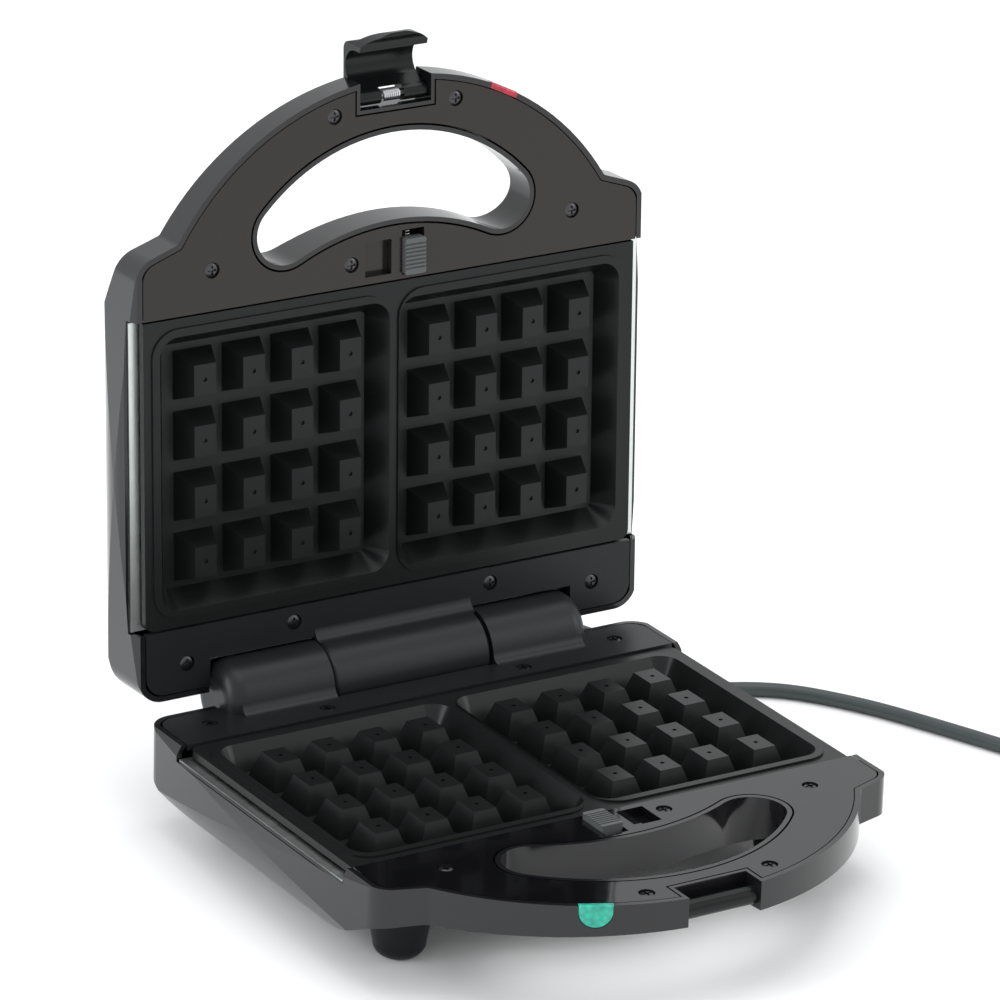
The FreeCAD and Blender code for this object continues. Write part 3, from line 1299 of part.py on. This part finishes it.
def make_plug():
    """A two-pin plug lying beside the coil."""
    body = new_body("plug_body")
    shape = new_sketch(body, "side", "XY_Plane")
    long_, wide, tall = D.plug_length, D.plug_width, D.plug_height
    draw_loop(shape, [(-wide / 2, Size.of(0)), (wide / 2, Size.of(0)), (wide / 2, long_ * 0.45),
                      (D.cord_radius + 1.5, long_), (-D.cord_radius - 1.5, long_), (-wide / 2, long_ * 0.45)])
    slab = pad(body, "slab", shape, Length=tall)
    fillet(body, "edges", slab, lambda edge, middle, along: abs(along.z) > 0.9 and middle.y > 1, 2.0)
    pins = new_sketch(body, "pins", "XZ_Plane")
    for sign in (1, -1):
        draw_circle(pins, D.plug_pin_across * sign, tall / 2, D.plug_pin_radius)
    pad(body, "pins_pad", pins, Length=D.plug_pin_length)
    seat(body, "plug", "base", COIL_CENTRE[0] + D.coil_middle_radius, COIL_CENTRE[1] - D.plug_length,
         -D.bezel_height)


outer_forms = {half: make_housing(half) for half in HALVES}
for half, colour in (("base", "green"), ("lid", "red")):
    make_front_bezel(half)
    make_rear_bezel(half)
    make_lens(half, colour)
    make_plate(half)
    make_reflector(half)
    make_element(half)
    make_button(half)
make_controls()
make_feet(outer_forms["base"])
make_hinge_pins()
make_latch()
make_spring("latch_spring", "lid", D.latch_pin_radius + D.spring_wire * 2, D.spring_wire,
            D.latch_spring_room * 1.6, 8, -D.latch_spring_room * 0.8, -D.latch_pivot_edge,
            -D.latch_pivot_depth, (0, 1, 0), RIGHT_ANGLE)
make_screws()
make_lead()
make_plug()
document.recompute()

for item in document.Objects:
    if "Invalid" in item.State or "Error" in item.State:
        raise RuntimeError(f"{item.Name} is {item.State}")
os.makedirs("parts", exist_ok=True)
for item in finished:
    if item.Shape.isNull() or not item.Shape.isValid():
        raise RuntimeError(f"{item.Label} has a bad shape")
    item.Shape.exportStep(f"parts/{item.Label}.step")
    box = item.Shape.BoundBox
    print(f"{item.Label:24s} {len(item.Shape.Solids):2d} solids  x {box.XMin:7.1f} {box.XMax:7.1f}"
          f"  y {box.YMin:7.1f} {box.YMax:7.1f}  z {box.ZMin:7.1f} {box.ZMax:7.1f}"
          f"  volume {item.Shape.Volume:9.0f}")
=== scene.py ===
import bpy
import math
from mathutils import Matrix, Vector


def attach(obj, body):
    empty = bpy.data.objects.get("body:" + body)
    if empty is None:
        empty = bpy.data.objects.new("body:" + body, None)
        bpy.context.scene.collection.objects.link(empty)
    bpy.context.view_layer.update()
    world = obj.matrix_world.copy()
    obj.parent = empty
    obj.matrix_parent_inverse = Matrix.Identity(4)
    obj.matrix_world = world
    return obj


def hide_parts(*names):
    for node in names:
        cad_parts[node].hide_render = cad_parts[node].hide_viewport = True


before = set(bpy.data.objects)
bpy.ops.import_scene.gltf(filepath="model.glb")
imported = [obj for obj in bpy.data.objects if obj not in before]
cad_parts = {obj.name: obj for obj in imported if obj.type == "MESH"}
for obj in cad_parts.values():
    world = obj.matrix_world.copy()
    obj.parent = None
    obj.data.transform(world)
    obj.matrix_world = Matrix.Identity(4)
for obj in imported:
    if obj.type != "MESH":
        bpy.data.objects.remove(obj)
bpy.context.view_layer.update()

# ---------------------------------------------------------------- camera

AZIMUTH = math.radians(-31.9)
ELEVATION = math.radians(21.14)
ROLL = math.radians(1.73)
CAMERA_SPOT = Vector((-1.1747, -1.8591, 0.9999))
LENS = 224.5
SENSOR = 36.0
SHIFT = (0.0078, -0.0049)
FAR_CLIP = 50.0


def make_camera():
    back = Vector((math.sin(AZIMUTH) * math.cos(ELEVATION), -math.cos(AZIMUTH) * math.cos(ELEVATION),
                   math.sin(ELEVATION)))
    level = Vector((math.cos(AZIMUTH), math.sin(AZIMUTH), 0.0))
    above = back.cross(level)
    right = level * math.cos(ROLL) + above * math.sin(ROLL)
    up = above * math.cos(ROLL) - level * math.sin(ROLL)
    data = bpy.data.cameras.new("camera")
    data.lens = LENS
    data.sensor_width = SENSOR
    data.shift_x, data.shift_y = SHIFT
    data.clip_end = FAR_CLIP
    camera = bpy.data.objects.new("camera", data)
    bpy.context.collection.objects.link(camera)
    turn = Matrix((right, up, back)).transposed().to_4x4()
    camera.matrix_world = Matrix.Translation(CAMERA_SPOT) @ turn
    bpy.context.scene.camera = camera


make_camera()

# ---------------------------------------------------------------- materials


class Shader:
    """A material under construction: its principled shader and helpers for the nodes that feed it."""

    def __init__(self, name, **settings):
        self.material = bpy.data.materials.new(name)
        self.material.use_nodes = True
        self.tree = self.material.node_tree
        self.principled = self.tree.nodes["Principled BSDF"]
        for socket, value in settings.items():
            self.principled.inputs[socket.replace("_", " ")].default_value = value

    def node(self, kind, **settings):
        node = self.tree.nodes.new(kind)
        for name, value in settings.items():
            if hasattr(node, name) and name not in node.inputs:
                setattr(node, name, value)
            else:
                node.inputs[name.replace("_", " ")].default_value = value
        return node

    def link(self, source, target):
        self.tree.links.new(source, target)

    def place(self):
        return self.node("ShaderNodeTexCoord").outputs["Object"]

    def noise(self, scale, detail=3.0, stretch=None):
        """Noise over the object's own metres. scale is in features per metre."""
        noise = self.node("ShaderNodeTexNoise", Scale=scale, Detail=detail)
        where = self.place()
        if stretch:
            mapping = self.node("ShaderNodeMapping")
            mapping.inputs["Scale"].default_value = stretch
            self.link(where, mapping.inputs["Vector"])
            where = mapping.outputs["Vector"]
        self.link(where, noise.inputs["Vector"])
        return noise.outputs["Fac"]

    def spread(self, value, low, high):
        """Maps a 0 to 1 value to the range low to high."""
        mapped = self.node("ShaderNodeMapRange")
        mapped.inputs["To Min"].default_value = low
        mapped.inputs["To Max"].default_value = high
        self.link(value, mapped.inputs["Value"])
        return mapped.outputs["Result"]

    def blend(self, value, first, second):
        """Mixes two colours by a value and feeds the base colour."""
        mix = self.node("ShaderNodeMix", data_type="RGBA")
        mix.inputs["A"].default_value = (*first, 1.0)
        mix.inputs["B"].default_value = (*second, 1.0)
        self.link(value, mix.inputs["Factor"])
        self.link(mix.outputs["Result"], self.principled.inputs["Base Color"])

    def roughen(self, value, low, high):
        self.link(self.spread(value, low, high), self.principled.inputs["Roughness"])

    def bump(self, value, height, strength=1.0):
        """Raises the surface by up to height metres where value is 1."""
        bump = self.node("ShaderNodeBump", Strength=strength, Distance=height)
        self.link(value, bump.inputs["Height"])
        self.link(bump.outputs["Normal"], self.principled.inputs["Normal"])


def gloss_black(name, first, second, roughness=0.09, ior=1.5):
    """Polished moulded plastic: deep colour, faint ripple from the mould, a few duller patches."""
    shader = Shader(name, IOR=ior)
    shader.blend(shader.noise(9.0), first, second)
    shader.roughen(shader.noise(38.0, 5.0), roughness * 0.7, roughness * 1.5)
    shader.bump(shader.noise(55.0, 2.0), 0.00003)
    return shader.material


def satin_black(name, first, second, roughness=0.42, ior=1.48):
    """Fine spark-eroded plastic."""
    shader = Shader(name, IOR=ior)
    shader.blend(shader.noise(14.0), first, second)
    shader.roughen(shader.noise(60.0, 4.0), roughness * 0.9, roughness * 1.15)
    shader.bump(shader.noise(1400.0, 2.0), 0.00006, 0.6)
    return shader.material


def nonstick():
    """Cast metal under a satin non-stick coating with fine texture."""
    shader = Shader("nonstick_coating", IOR=1.33)
    shader.blend(shader.noise(25.0, 4.0), (0.006, 0.007, 0.007), (0.009, 0.010, 0.010))
    shader.roughen(shader.noise(240.0, 4.0), 0.26, 0.36)
    shader.bump(shader.noise(900.0, 3.0), 0.00003, 0.5)
    return shader.material


def metal(name, colour, roughness, stretch=(1.0, 1.0, 1.0)):
    """Bare or plated metal with drawn or rolled marks along its length."""
    shader = Shader(name, Metallic=1.0)
    dull = tuple(channel * 0.86 for channel in colour)
    shader.blend(shader.noise(120.0, 4.0, stretch), dull, colour)
    shader.roughen(shader.noise(300.0, 3.0, stretch), roughness * 0.8, roughness * 1.3)
    shader.bump(shader.noise(900.0, 2.0, stretch), 0.00002, 0.5)
    return shader.material


def lens(name, colour, deep):
    """Coloured see-through plastic with a faceted back that glows a little in the light; the facets' light
    and shade are painted into the colour, the plain tint at each facet's middle and the deeper tint
    towards its edges.
    """
    shader = Shader(name, Roughness=0.12, IOR=1.5, Subsurface_Weight=0.3, Subsurface_Scale=0.004)
    painted_facet_light = shader.node("ShaderNodeTexVoronoi", Scale=420.0)
    shader.link(shader.place(), painted_facet_light.inputs["Vector"])
    # Painted facet light and shade: the colour runs from the plain tint to the deeper tint across each
    # facet.
    shader.blend(painted_facet_light.outputs["Distance"], colour, deep)
    shader.bump(shader.noise(300.0), 0.00002, 0.4)
    return shader.material


def rubber(name, first, second, roughness=0.6, ior=1.45):
    shader = Shader(name, IOR=ior)
    shader.blend(shader.noise(60.0, 4.0), first, second)
    shader.roughen(shader.noise(200.0, 4.0), roughness * 0.85, roughness * 1.1)
    shader.bump(shader.noise(1600.0, 2.0), 0.00005, 0.5)
    return shader.material


def cord_skin():
    """Soft dark green-grey lead cover, slightly polished by handling."""
    shader = Shader("lead_cover", IOR=1.47)
    shader.blend(shader.noise(30.0, 4.0), (0.034, 0.045, 0.046), (0.046, 0.058, 0.058))
    shader.roughen(shader.noise(150.0, 3.0), 0.34, 0.5)
    shader.bump(shader.noise(700.0, 2.0), 0.00004, 0.5)
    return shader.material


def clear_glass():
    shader = Shader("lamp_glass", Roughness=0.05, IOR=1.5, Transmission_Weight=0.85)
    shader.blend(shader.noise(90.0), (0.95, 0.78, 0.62), (0.9, 0.7, 0.55))
    return shader.material


def ceramic():
    shader = Shader("pale_ceramic", IOR=1.5)
    shader.blend(shader.noise(70.0, 4.0), (0.72, 0.70, 0.64), (0.8, 0.78, 0.72))
    shader.roughen(shader.noise(200.0), 0.35, 0.55)
    return shader.material


NODE_MATERIALS = {
    "housing": gloss_black("polished_black", (0.006, 0.006, 0.007), (0.009, 0.009, 0.010), 0.12),
    "base_front_bezel": gloss_black("piano_black", (0.003, 0.003, 0.004), (0.005, 0.005, 0.006), 0.05),
    "lid_front_bezel": gloss_black("warm_black", (0.014, 0.011, 0.009), (0.018, 0.014, 0.012), 0.14, 1.42),
    "rear_bezel": satin_black("fine_black", (0.007, 0.008, 0.009), (0.010, 0.011, 0.013), 0.36, 1.38),
    "plate": nonstick(),
    "reflector": metal("bright_sheet", (0.72, 0.76, 0.74), 0.3, (0.05, 1.0, 1.0)),
    "element": metal("dull_sheath", (0.3, 0.3, 0.31), 0.5),
    "steel": metal("zinc_plate", (0.62, 0.62, 0.64), 0.22),
    "button": satin_black("button_grey", (0.075, 0.08, 0.08), (0.09, 0.096, 0.096), 0.5),
    "latch": satin_black("latch_black", (0.004, 0.005, 0.005), (0.006, 0.007, 0.007), 0.22, 1.32),
    # Each lens's second, deeper tint is the painted shade of its facets.
    "red_lens": lens("red_lens_plastic", (0.55, 0.02, 0.05), (0.25, 0.005, 0.02)),
    "green_lens": lens("green_lens_plastic", (0.03, 0.5, 0.36), (0.01, 0.25, 0.18)),
    "lamp": clear_glass(),
    "foot": rubber("foot_rubber", (0.004, 0.005, 0.006), (0.006, 0.007, 0.009), 0.4, 1.32),
    "screws": metal("black_zinc", (0.085, 0.085, 0.09), 0.32),
    "plug": rubber("plug_cover", (0.03, 0.038, 0.038), (0.04, 0.05, 0.05), 0.5),
    "relief": rubber("relief_rubber", (0.026, 0.033, 0.033), (0.036, 0.044, 0.044), 0.5),
    "lead": cord_skin(),
    "tie": satin_black("tie_black", (0.015, 0.015, 0.016), (0.02, 0.02, 0.021)),
    "ceramic": ceramic(),
}
NODE_LOOKS = (
    ("base_front_bezel", "base_front_bezel"), ("lid_front_bezel", "lid_front_bezel"),
    ("housing", "housing"), ("rear_bezel", "rear_bezel"), ("_plate", "plate"), ("reflector", "reflector"),
    ("heating_element", "element"), ("release_button", "button"), ("red_lens", "red_lens"),
    ("green_lens", "green_lens"), ("lamp", "lamp"), ("foot_", "foot"), ("screws", "screws"),
    ("plug", "plug"), ("strain_relief", "relief"), ("mains_lead", "lead"), ("lead_coil", "lead"),
    ("lead_tie", "tie"), ("terminal_block", "ceramic"), ("latch_spring", "steel"), ("latch_pin", "steel"),
    ("latch_catch_bar", "latch"), ("latch", "latch"),
)


def look_for(node):
    for part, look in NODE_LOOKS:
        if part in node:
            return NODE_MATERIALS[look]
    return NODE_MATERIALS["steel"]


for node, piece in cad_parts.items():
    piece.data.materials.clear()
    piece.data.materials.append(look_for(node))

# ---------------------------------------------------------------- moulded edges

# Edges that turn by more than this angle are rounded.
SHARP_TURN = math.radians(38.0)
# Widest rounding of the sharp edges, in metres, by the ending of the node's name.
EDGE_ROUNDING = {
    "_housing": 0.0005, "_front_bezel": 0.0004, "_rear_bezel": 0.0004, "_plate": 0.0005, "_button": 0.0003,
    "latch": 0.0005, "plug": 0.0015,
}


def soften_edges(piece, width):
    """Rounds the edges that a mould or a tool can't leave sharp."""
    bevel = piece.modifiers.new("soft_edges", "BEVEL")
    bevel.width = width
    bevel.segments = 2
    bevel.limit_method = "ANGLE"
    bevel.angle_limit = SHARP_TURN
    bevel.use_clamp_overlap = True
    bevel.harden_normals = True


for node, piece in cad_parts.items():
    for ending, width in EDGE_ROUNDING.items():
        if node.endswith(ending):
            soften_edges(piece, width)

# ---------------------------------------------------------------- mains lead

LEAD_RADIUS = 0.003
RELIEF_TIP = Vector((0.090, 0.1216, 0.032))
LEAD_ROUTE = [
    (0.0910, 0.1358, 0.029), (0.1020, 0.1488, 0.024), (0.1180, 0.1498, 0.018), (0.1310, 0.1398, 0.0125),
    (0.1390, 0.1248, 0.008), (0.1450, 0.1088, 0.005), (0.1550, 0.0978, 0.0031), (0.1690, 0.0918, 0.003),
    (0.1820, 0.0818, 0.003), (0.1930, 0.0668, 0.003), (0.2030, 0.0498, 0.003), (0.2110, 0.0318, 0.003),
    (0.2190, 0.0128, 0.003), (0.2270, -0.0072, 0.003), (0.2360, -0.0262, 0.003), (0.2440, -0.0402, 0.003),
]
COIL_CENTRE = Vector((0.275, -0.0272, 0.0))
COIL_RADIUS = 0.033
COIL_START = math.radians(205.0)
TURN_POINTS = 14
# Each turn's offset from the coil's radius and its height above the floor.
TURN_LEVELS = ((0.0031, 0.0030), (-0.0031, 0.0030), (0.0, 0.0084))
# The last share of each turn, over which the lead moves across to the next turn.
CROSSING = 0.25


def coil_points():
    """The put-away turns: two side by side on the floor and one on top, anticlockwise."""
    points = []
    for step in range(len(TURN_LEVELS) * TURN_POINTS - 2):
        turn = step / TURN_POINTS
        whole = int(turn)
        offset, height = TURN_LEVELS[whole]
        share = max(0.0, (turn - whole - 1.0 + CROSSING) / CROSSING)
        if whole + 1 < len(TURN_LEVELS) and share > 0.0:
            ease = share * share * (3.0 - 2.0 * share)
            next_offset, next_height = TURN_LEVELS[whole + 1]
            offset += (next_offset - offset) * ease
            height += (next_height - height) * ease
        angle = COIL_START + 2.0 * math.pi * turn
        reach = COIL_RADIUS + offset
        across = COIL_CENTRE.x + reach * math.cos(angle)
        along = COIL_CENTRE.y + reach * math.sin(angle)
        points.append((across, along, height))
    return points


def make_lead():
    route = [tuple(RELIEF_TIP), *LEAD_ROUTE[:-1], *coil_points()]
    data = bpy.data.curves.new("mains_lead_curve", "CURVE")
    data.dimensions = "3D"
    data.bevel_depth = LEAD_RADIUS
    data.bevel_resolution = 8
    data.resolution_u = 8
    data.use_fill_caps = True
    spline = data.splines.new("NURBS")
    spline.points.add(len(route) - 1)
    for point, spot in zip(spline.points, route):
        point.co = (*spot, 1.0)
    spline.order_u = 3
    spline.use_endpoint_u = True
    data.materials.append(NODE_MATERIALS["lead"])
    lead = bpy.data.objects.new("lead", data)
    bpy.context.collection.objects.link(lead)
    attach(lead, "base")
    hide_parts("mains_lead", "lead_coil")


make_lead()

# ---------------------------------------------------------------- stage


FLOOR_HALF = 6.0


def make_stage():
    mesh = bpy.data.meshes.new("floor_mesh")
    corners = [(-FLOOR_HALF, -FLOOR_HALF, 0), (FLOOR_HALF, -FLOOR_HALF, 0),
               (FLOOR_HALF, FLOOR_HALF, 0), (-FLOOR_HALF, FLOOR_HALF, 0)]
    mesh.from_pydata(corners, [], [(0, 1, 2, 3)])
    floor = bpy.data.objects.new("floor", mesh)
    bpy.context.collection.objects.link(floor)
    shader = Shader("pale_floor", Roughness=0.8)
    shader.blend(shader.noise(2.0), (0.93, 0.93, 0.93), (0.95, 0.95, 0.95))
    mesh.materials.append(shader.material)

    world = bpy.data.worlds.new("studio")
    world.use_nodes = True
    background = world.node_tree.nodes["Background"]
    background.inputs["Color"].default_value = (0.98, 0.99, 1.0, 1.0)
    background.inputs["Strength"].default_value = 1.0
    bpy.context.scene.world = world
    bpy.context.scene.view_settings.view_transform = "Standard"


def area_light(name, spot, aim, width, height, power, colour=(1.0, 1.0, 1.0)):
    data = bpy.data.lights.new(name, "AREA")
    data.shape = "RECTANGLE"
    data.size = width
    data.size_y = height
    data.energy = power
    data.color = colour
    light = bpy.data.objects.new(name, data)
    bpy.context.collection.objects.link(light)
    spot, aim = Vector(spot), Vector(aim)
    light.location = spot
    light.rotation_euler = (aim - spot).to_track_quat("-Z", "Y").to_euler()
    return light


make_stage()
area_light("top_box", (0.1, 0.1, 1.6), (0.0, 0.0, 0.1), 1.4, 1.4, 9.0)
area_light("left_box", (-1.7, 0.3, 0.7), (0.0, 0.05, 0.12), 0.9, 1.2, 14.0, (0.93, 0.96, 1.0))
area_light("right_box", (1.5, -1.0, 0.9), (0.0, 0.0, 0.12), 0.8, 1.0, 7.0)
